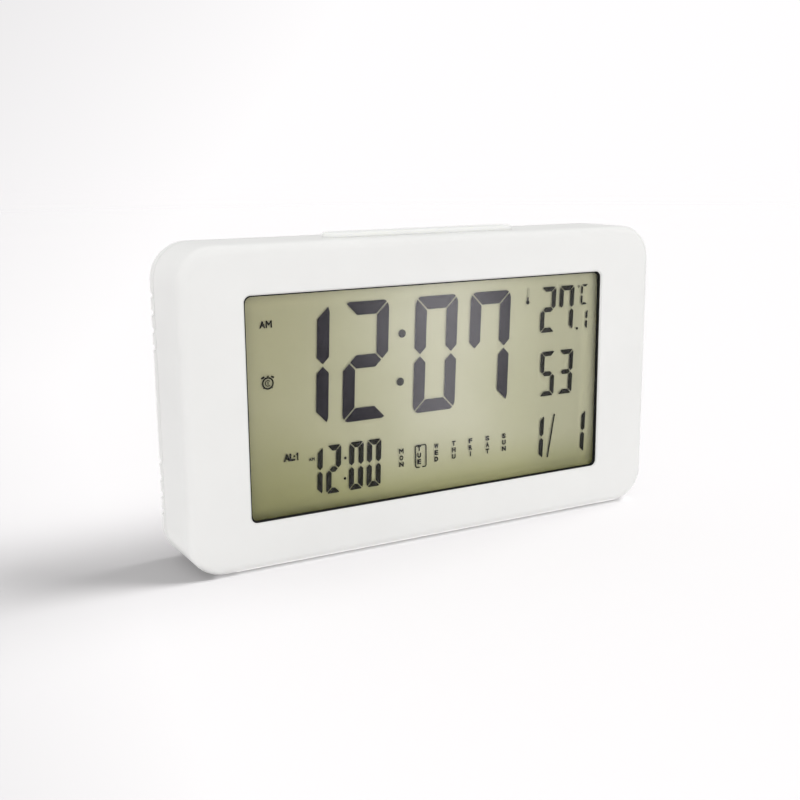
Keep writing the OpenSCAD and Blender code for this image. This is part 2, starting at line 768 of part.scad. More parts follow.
module battery_leads() color([0.7, 0.12, 0.1]) upright() for (side = [-1, 1])
    lead(bay_l / 2 + bay_wall + tab_out, bay_y + side * cell_pitch / 2, tab_start + contact_t / 2);

// Two leads of the buzzer, one to its ceramic and one to its brass rim
module buzzer_leads() color([0.12, 0.12, 0.12]) upright() {
    back = plate_in - buzzer_ledge_l - buzzer_t;
    for (end = [[buzzer_y, back - ceramic_t], [buzzer_y + (buzzer_r + ceramic_r) / 2, back]]) {
        lead(buzzer_x + lead_bend, end[0], lead_turn);
        lead_bow(buzzer_x + lead_bend, end[0], lead_turn + lead_bend, 180);
        rod(buzzer_x, end[0], lead_turn + lead_bend, end[1], lead_r);
    }
}

module cover_screws() color([0.75, 0.75, 0.76]) upright() at_cover_posts()
    screw(cover_post_top + cover_seat_t, cover_screw_r, cover_head_r, cover_head_t, cover_screw_l);

module board_screws() color([0.75, 0.75, 0.76]) upright() at_board_posts()
    screw(board_back, board_screw_r, board_head_r, board_head_t, board_screw_l);

module rubber_feet() color([0.3, 0.3, 0.31]) upright() translate([0, -half_h, 0])
    foot_shape(0, -foot_rise, foot_sink);

front_housing();
lcd_gasket();
front_polariser();
lcd_cell();
lcd_reflector();
light_guide();
light_leds();
display_frame();
zebra_strips();
main_board();
clock_chip();
quartz_crystal();
room_sensor();
buzzer_disc();
snooze_bar();
snooze_switch();
key_switches();
mode_key();
set_key();
up_key();
down_key();
alarm_key();
rear_cover();
battery_door();
battery_upper();
battery_lower();
battery_springs();
battery_contacts();
battery_leads();
buzzer_leads();
cover_screws();
board_screws();
rubber_feet();
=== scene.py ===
"""Looks of the white digital alarm clock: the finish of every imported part, the display's lit marks,
the printed marks on the back, and the pale studio it stands in."""

import math

import bmesh
import bpy
from mathutils import Matrix, Vector


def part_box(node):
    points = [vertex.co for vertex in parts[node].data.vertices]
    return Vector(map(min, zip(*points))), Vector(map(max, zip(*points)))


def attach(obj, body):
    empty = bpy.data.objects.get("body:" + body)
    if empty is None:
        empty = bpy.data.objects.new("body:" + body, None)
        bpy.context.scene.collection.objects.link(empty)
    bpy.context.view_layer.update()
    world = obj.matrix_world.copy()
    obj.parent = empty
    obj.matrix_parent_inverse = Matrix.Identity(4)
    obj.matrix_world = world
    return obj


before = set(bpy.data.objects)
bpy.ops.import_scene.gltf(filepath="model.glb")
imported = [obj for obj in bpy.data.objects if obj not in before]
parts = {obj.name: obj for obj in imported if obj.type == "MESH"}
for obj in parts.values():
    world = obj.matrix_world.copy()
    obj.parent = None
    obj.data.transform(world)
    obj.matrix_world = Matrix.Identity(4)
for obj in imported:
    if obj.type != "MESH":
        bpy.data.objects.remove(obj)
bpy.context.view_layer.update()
MM = 0.001


# Node helpers


def add(tree, kind, inputs=None, **settings):
    """Adds a node, sets its options, and feeds its inputs from sockets or plain values."""
    node = tree.nodes.new(kind)
    for name, value in settings.items():
        setattr(node, name, value)
    for name, value in (inputs or {}).items():
        if isinstance(value, bpy.types.NodeSocket):
            tree.links.new(value, node.inputs[name])
        else:
            node.inputs[name].default_value = value
    return node


def maths(tree, operation, first, second=0.0):
    return add(tree, "ShaderNodeMath", {0: first, 1: second}, operation=operation).outputs[0]


def vector_maths(tree, operation, first, second=(0.0, 0.0, 0.0)):
    """A sum of two vectors, or their measure as a number."""
    made = add(tree, "ShaderNodeVectorMath", {0: first, 1: second}, operation=operation)
    measure = operation in ("DOT_PRODUCT", "DISTANCE", "LENGTH")
    return made.outputs["Value" if measure else "Vector"]


class Finish:
    """A procedural material in the making, placed by the part's own coordinates in metres."""

    def __init__(self, name):
        self.material = bpy.data.materials.new(name)
        self.material.use_nodes = True
        self.tree = self.material.node_tree
        self.tree.nodes.clear()
        self.place = self.node("ShaderNodeTexCoord").outputs["Object"]

    def node(self, kind, inputs=None, **settings):
        return add(self.tree, kind, inputs, **settings)

    def axes(self):
        split = self.node("ShaderNodeSeparateXYZ", {"Vector": self.place})
        return split.outputs["X"], split.outputs["Y"], split.outputs["Z"]

    def noise(self, size, detail=2.0, roughness=0.5, stretch=None):
        """Noise whose features are about `size` metres across, between 0 and 1."""
        place = self.place
        if stretch:
            place = self.vector_maths("MULTIPLY", place, stretch)
        made = self.node(
            "ShaderNodeTexNoise",
            {"Vector": place, "Scale": 1 / size, "Detail": detail, "Roughness": roughness},
        )
        return made.outputs["Fac"]

    def maths(self, operation, first, second=0.0):
        return maths(self.tree, operation, first, second)

    def vector_maths(self, operation, first, second=(0.0, 0.0, 0.0)):
        return vector_maths(self.tree, operation, first, second)

    def remap(self, value, start, end, low=0.0, high=1.0):
        """A smooth step from low to high as value goes from start to end."""
        made = self.node(
            "ShaderNodeMapRange",
            {"Value": value, "From Min": start, "From Max": end, "To Min": low, "To Max": high},
            interpolation_type="SMOOTHSTEP",
        )
        return made.outputs["Result"]

    def cloud(self, size):
        """Soft patches between 0 and 1, about `size` metres across."""
        return self.remap(self.noise(size), 0.3, 0.7)

    def blend(self, share, first, second, mode="MIX"):
        made = self.node(
            "ShaderNodeMix", {0: share, 6: first, 7: second}, data_type="RGBA", blend_type=mode
        )
        return made.outputs[2]

    def relief(self, height, depth, strength, normal=None):
        inputs = {"Height": height, "Distance": depth, "Strength": strength}
        if normal is not None:
            inputs["Normal"] = normal
        return self.node("ShaderNodeBump", inputs).outputs["Normal"]

    def soft_edge(self, radius):
        return self.node("ShaderNodeBevel", {"Radius": radius}, samples=4).outputs["Normal"]

    def principled(self, **inputs):
        named = {name.replace("_", " "): value for name, value in inputs.items()}
        return self.node("ShaderNodeBsdfPrincipled", named).outputs["BSDF"]

    def done(self, shader):
        out = self.node("ShaderNodeOutputMaterial")
        self.tree.links.new(shader, out.inputs["Surface"])
        return self.material


def shade(colour, factor):
    return tuple(c * factor for c in colour[:3]) + (1.0,)


# Finishes


def moulded(name, colour, roughness, edge=0.00015, **extra):
    """Injection-moulded plastic: a faint drift of tone, a spark-eroded grain and soft edges."""
    grain_size, grain_depth, sink_depth = 0.0003, 0.000004, 0.00003
    f = Finish(name)
    drift = f.noise(0.03, 3.0)
    tone = f.blend(f.remap(drift, 0.3, 0.7), shade(colour, 0.985), shade(colour, 1.01))
    gloss = f.remap(f.noise(0.012, 4.0, 0.6), 0.25, 0.75, roughness * 0.92, roughness * 1.08)
    sink = f.relief(drift, sink_depth, 0.12, f.soft_edge(edge))
    normal = f.relief(f.noise(grain_size, 2.0), grain_depth, 0.6, sink)
    return f.done(
        f.principled(Base_Color=tone, Roughness=gloss, Normal=normal, IOR=1.49, **extra)
    )


def metal(name, colour, roughness, stretch=(1.0, 1.0, 1.0)):
    """Plated or drawn metal with fine scratches along one way and a few dull patches."""
    scratch_size, scratch_depth, edge = 0.0006, 0.000006, 0.00006
    f = Finish(name)
    scratch = f.noise(scratch_size, 3.0, 0.6, stretch)
    patch = f.noise(0.004, 3.0)
    tone = f.blend(f.remap(patch, 0.3, 0.7), shade(colour, 0.86), shade(colour, 1.04))
    gloss = f.remap(patch, 0.2, 0.8, roughness * 0.75, roughness * 1.3)
    normal = f.relief(scratch, scratch_depth, 0.5, f.soft_edge(edge))
    return f.done(f.principled(Base_Color=tone, Metallic=1.0, Roughness=gloss, Normal=normal))


def foam():
    """Closed-cell foam: round cells with paler walls."""
    cells_per_metre, cell_depth = 3500.0, 0.00004
    f = Finish("black_foam")
    cells = f.node("ShaderNodeTexVoronoi", {"Vector": f.place, "Scale": cells_per_metre})
    away = cells.outputs["Distance"]
    wall = f.remap(away, 0.0, 0.6)
    tone = f.blend(wall, (0.006, 0.006, 0.006, 1), (0.016, 0.016, 0.015, 1))
    normal = f.relief(away, cell_depth, 0.7)
    return f.done(
        f.principled(Base_Color=tone, Roughness=0.9, Normal=normal, Specular_IOR_Level=0.12)
    )


def film():
    """Front polariser: a clear tint under a thin anti-glare haze."""
    f = Finish("anti_glare_film")
    haze = f.remap(f.noise(0.02, 2.0), 0.3, 0.7, 0.0119, 0.0134)
    grain_size, grain_depth = 0.00008, 0.000001
    grain = f.relief(f.noise(grain_size, 1.0), grain_depth, 0.3)
    clear = f.node("ShaderNodeBsdfTransparent", {"Color": (0.965, 0.965, 0.955, 1)}).outputs[0]
    sheen = f.node(
        "ShaderNodeBsdfGlossy", {"Color": (0.97, 0.945, 1.0, 1), "Roughness": 0.2, "Normal": grain}
    ).outputs[0]
    return f.done(f.node("ShaderNodeMixShader", {0: haze, 1: clear, 2: sheen}).outputs[0])


def display_glass():
    """Sheet glass with a weak reflection at its faces, a faint tint and a dark seal at its rim."""
    side_seal, end_seal, seal_edge = 0.0008, 0.0026, 0.0001
    f = Finish("display_glass")
    low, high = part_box("lcd_cell")
    x, _, z = f.axes()
    seal = 0.0
    for value, start, end, wide in ((x, low.x, high.x, side_seal), (z, low.z, high.z, end_seal)):
        away = f.maths("ABSOLUTE", f.maths("SUBTRACT", value, (start + end) / 2))
        edge = (end - start) / 2 - wide
        seal = f.maths("MAXIMUM", seal, f.remap(away, edge, edge + seal_edge))
    tint = f.blend(f.cloud(0.03), (0.975, 0.98, 0.965, 1), (0.98, 0.985, 0.972, 1))
    clear = f.node("ShaderNodeBsdfTransparent", {"Color": tint}).outputs[0]
    gleam = f.node("ShaderNodeBsdfGlossy", {"Roughness": 0.15}).outputs[0]
    share = f.maths("MULTIPLY", f.node("ShaderNodeFresnel", {"IOR": 1.12}).outputs[0], 0.5)
    sheet = f.node("ShaderNodeMixShader", {0: share, 1: clear, 2: gleam}).outputs[0]
    epoxy = f.principled(Base_Color=(0.03, 0.032, 0.028, 1), Roughness=0.5)
    return f.done(f.node("ShaderNodeMixShader", {0: seal, 1: sheet, 2: epoxy}).outputs[0])


def reflector():
    """Pearly yellow-green film behind the cell, darker and yellower at its lower corners, with
    painted light at its right, upper and lower rims, where the window's lip shades it.
    """
    f = Finish("pearl_reflector")
    x, _, z = f.axes()
    left = f.remap(x, -0.060, -0.005)
    right = f.remap(x, 0.020, 0.050)
    # The lower tones reach higher at the left end
    reach_up = f.remap(x, -0.055, -0.010, 0.048, 0.028)
    low = f.remap(z, 0.010, reach_up)
    upper = f.blend(left, (0.505, 0.477, 0.305, 1), (0.66, 0.64, 0.475, 1))
    patchy = f.blend(f.maths("MULTIPLY", f.cloud(0.035), 0.25), upper, (0.60, 0.59, 0.42, 1))
    lower = f.blend(left, (0.33, 0.32, 0.135, 1), (0.49, 0.476, 0.2225, 1))
    lower = f.blend(right, lower, (0.41, 0.40, 0.18, 1))
    # A little dimmer right of the middle, and paler at the rims: painted light that offsets the shade
    # the window's lip casts there
    dim_band = f.remap(x, 0.028, 0.044, 1.0, 0.915)
    right_rim_painted_light = f.remap(x, 0.0505, 0.058, 1.0, 1.85)
    upper_rim_painted_light = f.remap(z, 0.067, 0.0735, 1.0, 1.25)
    lower_rim_painted_light = f.remap(z, 0.0130, 0.0158, f.remap(x, -0.025, 0.010, 1.0, 1.42), 1.0)
    # The share multiplies in the painted light that brightens the rims
    share = dim_band
    for rim in (right_rim_painted_light, upper_rim_painted_light, lower_rim_painted_light):
        share = f.maths("MULTIPLY", share, rim)
    tone = f.blend(1.0, f.blend(low, lower, patchy), share, "MULTIPLY")
    pearl_size, pearl_depth = 0.0001, 0.000004
    pearl = f.relief(f.noise(pearl_size, 2.0), pearl_depth, 0.5)
    return f.done(
        f.principled(Base_Color=tone, Roughness=0.45, Metallic=0.15, Normal=pearl, IOR=1.4)
    )


def ink(name, colour, roughness, gloss=0.5):
    """Printed or switched ink, a little uneven."""
    f = Finish(name)
    tone = f.blend(f.cloud(0.004), shade(colour, 0.85), shade(colour, 1.15))
    return f.done(f.principled(Base_Color=tone, Roughness=roughness, Specular_IOR_Level=gloss))


def acrylic():
    """Clear acrylic, greener towards its ends, where one looks into its edges."""
    f = Finish("light_guide_acrylic")
    x, _, _ = f.axes()
    towards_end = f.remap(f.maths("ABSOLUTE", x), 0.03, 0.058)
    tone = f.blend(towards_end, (0.93, 0.95, 0.93, 1), (0.86, 0.93, 0.89, 1))
    wavy = f.relief(f.noise(0.01), 0.00001, 0.4)
    return f.done(
        f.principled(
            Base_Color=tone, Roughness=0.08, Transmission_Weight=0.85, IOR=1.49, Normal=wavy
        )
    )


def lamp_resin():
    """Yellow phosphor under clear resin, in a white body."""
    resin_end, body_start = -0.0066, -0.0060
    f = Finish("lamp_resin")
    _, y, _ = f.axes()
    front = f.remap(y, resin_end, body_start, 1.0, 0.0)
    tone = f.blend(front, (0.85, 0.85, 0.82, 1), (0.9, 0.72, 0.2, 1))
    cloudy = f.blend(f.remap(f.noise(0.0006), 0.3, 0.7, 0.0, 0.25), tone, (0.95, 0.9, 0.7, 1))
    return f.done(f.principled(Base_Color=cloudy, Roughness=0.25, Coat_Weight=0.3))


def zebra():
    """Layered rubber: thin black conducting layers between pink ones."""
    band_scale = 900.0
    f = Finish("zebra_rubber")
    bands = f.node(
        "ShaderNodeTexWave", {"Vector": f.place, "Scale": band_scale}, bands_direction="X"
    ).outputs["Fac"]
    edge = f.remap(bands, 0.35, 0.65)
    tone = f.blend(edge, (0.03, 0.03, 0.03, 1), (0.62, 0.28, 0.33, 1))
    return f.done(f.principled(Base_Color=tone, Roughness=0.6, Normal=f.relief(edge, 0.00001, 0.4)))


def board():
    """Green solder mask over copper traces, with tinned pads in rows."""
    trace_scale, pads_per_metre = 160.0, 210.0
    f = Finish("board_laminate")
    laid_flat = f.node(
        "ShaderNodeMapping", {"Vector": f.place, "Rotation": (math.radians(90), 0, 0)}
    ).outputs[0]
    mask = f.node(
        "ShaderNodeTexBrick",
        {
            "Vector": laid_flat,
            "Scale": trace_scale,
            "Mortar Size": 0.055,
            "Mortar Smooth": 0.15,
            "Color1": (0.025, 0.15, 0.055, 1),
            "Color2": (0.03, 0.17, 0.06, 1),
            "Mortar": (0.06, 0.3, 0.11, 1),
        },
    )
    cells = f.node(
        "ShaderNodeTexVoronoi", {"Vector": f.place, "Scale": pads_per_metre, "Randomness": 0.35}
    )
    pad = f.remap(cells.outputs["Distance"], 0.17, 0.2, 1.0, 0.0)
    tone = f.blend(pad, mask.outputs["Color"], (0.72, 0.72, 0.7, 1))
    rise = f.maths("ADD", mask.outputs["Fac"], pad)
    return f.done(
        f.principled(
            Base_Color=tone, Metallic=pad, Roughness=0.32, Normal=f.relief(rise, 0.00003, 0.5)
        )
    )


def resin_drop():
    """Black resin that ran out from the chip in a drop."""
    f = Finish("chip_resin")
    flow = f.noise(0.006, 3.0)
    tone = f.blend(f.remap(flow, 0.3, 0.7), (0.012, 0.012, 0.013, 1), (0.028, 0.027, 0.026, 1))
    return f.done(f.principled(Base_Color=tone, Roughness=0.18, Normal=f.relief(flow, 0.0002, 0.5)))


def buzzer():
    """Brass disc with a silvered ceramic disc on its front, scored in rings."""
    ring_scale = 26000.0
    ceramic_radius, ceramic_depth, edge = 0.0069, 0.00025, 0.0001
    f = Finish("buzzer_brass")
    low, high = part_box("buzzer_disc")
    middle = (low + high) / 2
    _, y, _ = f.axes()
    flat = f.vector_maths("MULTIPLY", f.place, (1, 0, 1))
    reach = f.vector_maths("DISTANCE", flat, (middle.x, 0, middle.z))
    rings = f.maths("SINE", f.maths("MULTIPLY", reach, ring_scale))
    inside = f.remap(reach, ceramic_radius - edge, ceramic_radius + edge, 1.0, 0.0)
    rim = low.y + ceramic_depth
    in_front = f.remap(y, rim - edge / 2, rim + edge / 2, 1.0, 0.0)
    ceramic = f.maths("MULTIPLY", inside, in_front)
    brass = f.blend(f.cloud(0.003), (0.66, 0.47, 0.17, 1), (0.8, 0.6, 0.26, 1))
    tone = f.blend(ceramic, brass, (0.82, 0.82, 0.8, 1))
    return f.done(
        f.principled(
            Base_Color=tone,
            Metallic=0.9,
            Roughness=f.remap(ceramic, 0, 1, 0.3, 0.5),
            Normal=f.relief(rings, 0.000004, 0.5),
        )
    )


def switches(name, plated):
    """Black switch body, with a steel cover between the two depths of `plated`."""
    edge = 0.00002
    f = Finish(name)
    _, y, _ = f.axes()
    tone = f.blend(f.cloud(0.002), (0.02, 0.02, 0.021, 1), (0.035, 0.035, 0.036, 1))
    steel = 0.0
    if plated:
        start, end = plated
        after_start = f.remap(y, start - 2 * edge, start + edge)
        before_end = f.remap(y, end - edge, end + 2 * edge, 1.0, 0.0)
        steel = f.maths("MULTIPLY", after_start, before_end)
        tone = f.blend(steel, tone, (0.7, 0.7, 0.69, 1))
    grain = f.relief(f.noise(0.0002), 0.00001, 0.4)
    return f.done(f.principled(Base_Color=tone, Metallic=steel, Roughness=0.42, Normal=grain))


def battery(name, node, plus_side):
    """Shrink sleeve round a battery: dark body, copper-coloured end, bright cap and base."""
    copper_end, line_end, edge = 0.012, 0.0132, 0.0001
    f = Finish(name)
    low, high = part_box(node)
    middle = (low + high) / 2
    radius = (high.z - low.z) / 2
    x, _, _ = f.axes()
    flat = f.vector_maths("MULTIPLY", f.place, (0, 1, 1))
    reach = f.vector_maths("DISTANCE", flat, (0, middle.y, middle.z))
    sleeve = f.remap(reach, radius * 0.93, radius * 0.95)
    top = high.x if plus_side > 0 else low.x
    away = f.maths("MULTIPLY", f.maths("SUBTRACT", top, x), float(plus_side))
    # The copper-coloured end, and a pale line round the sleeve where it stops
    line_start = copper_end + 2 * edge
    copper = f.remap(away, copper_end - 2 * edge, line_start, 1.0, 0.0)
    after_start = f.remap(away, line_start, line_start + 2 * edge)
    before_end = f.remap(away, line_end - edge, line_end + edge, 1.0, 0.0)
    line = f.maths("MULTIPLY", after_start, before_end)
    wrap = f.blend(copper, (0.035, 0.037, 0.042, 1), (0.55, 0.3, 0.12, 1))
    wrap = f.blend(line, wrap, (0.8, 0.8, 0.78, 1))
    tone = f.blend(sleeve, (0.78, 0.78, 0.76, 1), wrap)
    gloss = f.remap(f.noise(0.006, 3.0), 0.3, 0.7, 0.2, 0.32)
    crease = f.relief(f.noise(0.003, 2.0, stretch=(0.2, 1, 1)), 0.00003, 0.3)
    return f.done(
        f.principled(
            Base_Color=tone,
            Metallic=f.remap(sleeve, 0, 1, 1.0, 0.35),
            Roughness=gloss,
            Normal=crease,
            Coat_Weight=0.4,
            Coat_Roughness=0.12,
        )
    )


def sleeved_lead(name, upper, lower, split, board_side, far_side):
    """Plastic sleeves, one colour above a height and one below, with tinned ends along Y."""
    bare_length, edge = 0.0007, 0.0001
    f = Finish(name)
    _, y, z = f.axes()
    sleeve = f.blend(f.remap(z, split - edge, split + edge), lower, upper)
    near, far = board_side + bare_length, far_side - bare_length
    start = f.remap(y, near - edge, near + edge, 1.0, 0.0)
    end = f.remap(y, far - edge, far + edge)
    bare = f.maths("MAXIMUM", start, end)
    tone = f.blend(bare, sleeve, (0.7, 0.69, 0.66, 1))
    return f.done(
        f.principled(
            Base_Color=tone,
            Metallic=bare,
            Roughness=f.remap(bare, 0, 1, 0.38, 0.25),
            Normal=f.relief(f.noise(0.0005), 0.00001, 0.4),
        )
    )


def rubber():
    """Dark rubber with dust in its grain."""
    f = Finish("foot_rubber")
    dust = f.noise(0.0015, 4.0, 0.7)
    tone = f.blend(f.remap(dust, 0.45, 0.75), (0.05, 0.05, 0.053, 1), (0.12, 0.12, 0.12, 1))
    grain = f.relief(f.noise(0.0002), 0.00001, 0.5)
    return f.done(f.principled(Base_Color=tone, Roughness=0.75, Normal=grain))


def middle_height(node):
    low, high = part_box(node)
    return (low.z + high.z) / 2


board_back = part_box("main_board")[1].y
buzzer_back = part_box("buzzer_disc")[0].y
case_plastic = moulded("white_case_plastic", (0.86, 0.86, 0.842), 0.4)
white_tray = moulded("tray_plastic", (0.88, 0.88, 0.85), 0.5)
key_plastic = moulded("key_plastic", (0.76, 0.76, 0.75), 0.36, edge=0.0001)
sensor_plastic = moulded("sensor_plastic", (0.8, 0.82, 0.84), 0.45, edge=0.00008)
snooze_plastic = moulded(
    "translucent_snooze_plastic",
    (0.885, 0.89, 0.862),
    0.45,
    edge=0.0001,
    Specular_IOR_Level=0.35,
    Sheen_Weight=0.2,
    Sheen_Roughness=0.5,
    Subsurface_Weight=0.35,
    Subsurface_Radius=(1.0, 1.0, 0.85),
    Subsurface_Scale=0.0015,
)
zinc = metal("zinc_screws", (0.62, 0.63, 0.66), 0.3)
nickel = metal("nickel_plate", (0.74, 0.72, 0.68), 0.25, stretch=(0.3, 1.0, 1.0))
can = metal("crystal_can", (0.72, 0.72, 0.7), 0.22)
RED_SLEEVE, BLACK_SLEEVE = (0.5, 0.02, 0.02, 1), (0.02, 0.02, 0.02, 1)
# The battery leads are bare at the board alone, so their other end is put far off
FAR_OFF = 1.0
# Depths of the key switches' steel cover behind the board
COVER_START, COVER_END = 0.0032, 0.0035
finishes = {
    "front_housing": case_plastic,
    "rear_cover": case_plastic,
    "battery_door": case_plastic,
    "lcd_gasket": foam(),
    "front_polariser": film(),
    "lcd_cell": display_glass(),
    "lcd_reflector": reflector(),
    "light_guide": acrylic(),
    "light_leds": lamp_resin(),
    "display_frame": white_tray,
    "zebra_strips": zebra(),
    "main_board": board(),
    "clock_chip": resin_drop(),
    "quartz_crystal": can,
    "room_sensor": sensor_plastic,
    "buzzer_disc": buzzer(),
    "snooze_bar": snooze_plastic,
    "snooze_switch": switches("snooze_switch_body", None),
    "key_switches": switches(
        "key_switch_body", (board_back + COVER_START, board_back + COVER_END)
    ),
    "mode_key": key_plastic,
    "set_key": key_plastic,
    "up_key": key_plastic,
    "down_key": key_plastic,
    "alarm_key": key_plastic,
    "battery_upper": battery("upper_battery_sleeve", "battery_upper", 1),
    "battery_lower": battery("lower_battery_sleeve", "battery_lower", -1),
    "battery_springs": nickel,
    "battery_contacts": nickel,
    "battery_leads": sleeved_lead(
        "battery_lead_sleeves",
        BLACK_SLEEVE,
        RED_SLEEVE,
        middle_height("battery_leads"),
        board_back,
        FAR_OFF,
    ),
    "buzzer_leads": sleeved_lead(
        "buzzer_lead_sleeves",
        RED_SLEEVE,
        BLACK_SLEEVE,
        middle_height("buzzer_leads"),
        board_back,
        buzzer_back,
    ),
    "cover_screws": zinc,
    "board_screws": zinc,
    "rubber_feet": rubber(),
}
for name, part in parts.items():
    part.data.materials.clear()
    part.data.materials.append(finishes[name])
# A hair of air between the display's clear sheets, so that no two faces lie in one plane
AIR_GAP = 0.00002
for name, shift in (("front_polariser", -AIR_GAP), ("lcd_reflector", AIR_GAP)):
    seat = parts[name].modifiers.new("air_gap", "DISPLACE")
    seat.direction = "Y"
    seat.mid_level = 0.0
    seat.strength = shift


# Flat marks: display segments, words and signs


class Marks:
    """Thin solid marks in one upright plane, between two depths along Y, drawn in millimetres."""

    def __init__(self, front, back, seen_from_behind=False):
        self.front, self.back = front, back
        self.flip = -1 if seen_from_behind else 1
        self.mesh = bmesh.new()

    def prism(self, outline):
        rings = [
            [self.mesh.verts.new((self.flip * x * MM, y, z * MM)) for x, z in outline]
            for y in (self.front, self.back)
        ]
        count = len(outline)
        self.mesh.faces.new(rings[0])
        self.mesh.faces.new(reversed(rings[1]))
        for i in range(count):
            j = (i + 1) % count
            self.mesh.faces.new((rings[0][j], rings[0][i], rings[1][i], rings[1][j]))

    def disc(self, x, z, radius):
        steps = 28
        turns = [2 * math.pi * i / steps for i in range(steps)]
        self.prism([(x + radius * math.cos(t), z + radius * math.sin(t)) for t in turns])

    def ring(self, x, z, outer, inner, steps=36, start=0.0, sweep=360.0):
        """A ring or an arc of one, as a row of short prisms."""
        for i in range(steps):
            a, b = (math.radians(start + sweep * (i + k) / steps) for k in (0, 1))
            self.prism(
                [
                    (x + r * math.cos(t), z + r * math.sin(t))
                    for r, t in ((inner, a), (outer, a), (outer, b), (inner, b))
                ]
            )

    def bar(self, start, end, width):
        """A straight stroke between two points."""
        (x0, z0), (x1, z1) = start, end
        length = math.hypot(x1 - x0, z1 - z0)
        nx, nz = -(z1 - z0) / length * width / 2, (x1 - x0) / length * width / 2
        self.prism([(x0 + nx, z0 + nz), (x0 - nx, z0 - nz), (x1 - nx, z1 - nz), (x1 + nx, z1 + nz)])

    def word(self, text, low, high, weight=0.0):
        """A word fitted between two corners."""
        curve = bpy.data.curves.new("word", "FONT")
        curve.body = text
        curve.offset = weight
        curve.resolution_u = 4
        holder = bpy.data.objects.new("word", curve)
        bpy.context.scene.collection.objects.link(holder)
        bpy.context.view_layer.update()
        flat = bpy.data.meshes.new_from_object(
            holder.evaluated_get(bpy.context.evaluated_depsgraph_get())
        )
        bpy.data.objects.remove(holder)
        xs = [v.co.x for v in flat.vertices]
        ys = [v.co.y for v in flat.vertices]
        sx = (high[0] - low[0]) / (max(xs) - min(xs))
        sz = (high[1] - low[1]) / (max(ys) - min(ys))
        letters = bmesh.new()
        letters.from_mesh(flat)
        bmesh.ops.remove_doubles(letters, verts=letters.verts, dist=1e-5)
        for v in letters.verts:
            x = low[0] + (v.co.x - min(xs)) * sx
            z = low[1] + (v.co.y - min(ys)) * sz
            v.co = (self.flip * x * MM, self.front, z * MM)
        grown = bmesh.ops.extrude_face_region(letters, geom=letters.faces[:])
        moved = [v for v in grown["geom"] if isinstance(v, bmesh.types.BMVert)]
        bmesh.ops.translate(letters, vec=(0, self.back - self.front, 0), verts=moved)
        letters.to_mesh(flat)
        letters.free()
        self.mesh.from_mesh(flat)
        bpy.data.meshes.remove(flat)

    def letter_m(self, low, high, stroke):
        """The letter M as one outline, which stays clean where the font's own is thickened."""
        (x0, z0), (x1, z1) = low, high
        middle, dip, slope = (x0 + x1) / 2, z0 + 0.25 * (z1 - z0), 1.7 * stroke
        left, right = x0 + stroke, x1 - stroke
        self.prism(
            [
                *((x0, z0), (left, z0), (left, z1 - slope), (middle, dip), (right, z1 - slope)),
                *((right, z0), (x1, z0), (x1, z1), (right, z1), (middle, dip + slope)),
                *((left, z1), (x0, z1)),
            ]
        )

    def piece(self, name, finish, slot):
        bmesh.ops.recalc_face_normals(self.mesh, faces=self.mesh.faces)
        mesh = bpy.data.meshes.new(name)
        self.mesh.to_mesh(mesh)
        self.mesh.free()
        place_piece(name, mesh, finish)


def place_piece(name, mesh, finish, body="case"):
    """Links a finished mesh as a piece that rides on a body."""
    mesh.materials.clear()
    mesh.materials.append(finish)
    piece = bpy.data.objects.new(name, mesh)
    bpy.context.scene.collection.objects.link(piece)
    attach(piece, body)


# Seven-segment digits, by geometry nodes

# Which of the segments a to g are lit, as bits from 1 for a to 64 for g
LIT = {"0": 63, "1": 6, "2": 91, "3": 79, "5": 109, "7": 39, "C": 57}
# Corners as shares: x in (width, stroke, gap), z in (height, stroke, gap)
TOP_SEGMENT = [
    ((0, 0.35, 0.7), (0.5, 0, 0)),
    ((1, -0.35, -0.7), (0.5, 0, 0)),
    ((1, -0.12, -0.7), (0.5, -0.12, 0)),
    ((1, -1, -0.7), (0.5, -1, 0)),
    ((0, 1, 0.7), (0.5, -1, 0)),
    ((0, 0.12, 0.7), (0.5, -0.12, 0)),
]
SIDE_SEGMENT = [
    ((0, 0, 0), (0, 0.5, 0.7)),
    ((0, 0.5, 0), (0, 0, 0.7)),
    ((0, 1, 0), (0, 0.5, 0.7)),
    ((0, 1, 0), (0.5, -1, -0.7)),
    ((0, 0.12, 0), (0.5, -0.12, -0.7)),
    ((0, 0, 0), (0.5, -0.5, -0.7)),
]
MIDDLE_SEGMENT = [
    ((0, 0.5, 0.7), (0, 0, 0)),
    ((0, 1, 0.7), (0, 0.5, 0)),
    ((1, -1, -0.7), (0, 0.5, 0)),
    ((1, -0.5, -0.7), (0, 0, 0)),
    ((1, -1, -0.7), (0, -0.5, 0)),
    ((0, 1, 0.7), (0, -0.5, 0)),
]
# Segments a to g: outline, mirrored left to right, mirrored top to bottom
SEGMENTS = [
    (TOP_SEGMENT, False, False),
    (SIDE_SEGMENT, True, False),
    (SIDE_SEGMENT, True, True),
    (TOP_SEGMENT, False, True),
    (SIDE_SEGMENT, False, True),
    (SIDE_SEGMENT, False, False),
    (MIDDLE_SEGMENT, False, False),
]


def new_tree(name, inputs):
    """An empty geometry node tree with these named inputs, and its input and output nodes."""
    tree = bpy.data.node_groups.new(name, "GeometryNodeTree")
    tree.interface.new_socket("Geometry", in_out="OUTPUT", socket_type="NodeSocketGeometry")
    for label, kind in inputs:
        tree.interface.new_socket(label, in_out="INPUT", socket_type="NodeSocket" + kind)
    return tree, tree.nodes.new("NodeGroupInput").outputs, tree.nodes.new("NodeGroupOutput")


def position(tree, axis):
    place = add(tree, "GeometryNodeInputPosition").outputs[0]
    return add(tree, "ShaderNodeSeparateXYZ", {"Vector": place}).outputs[axis]


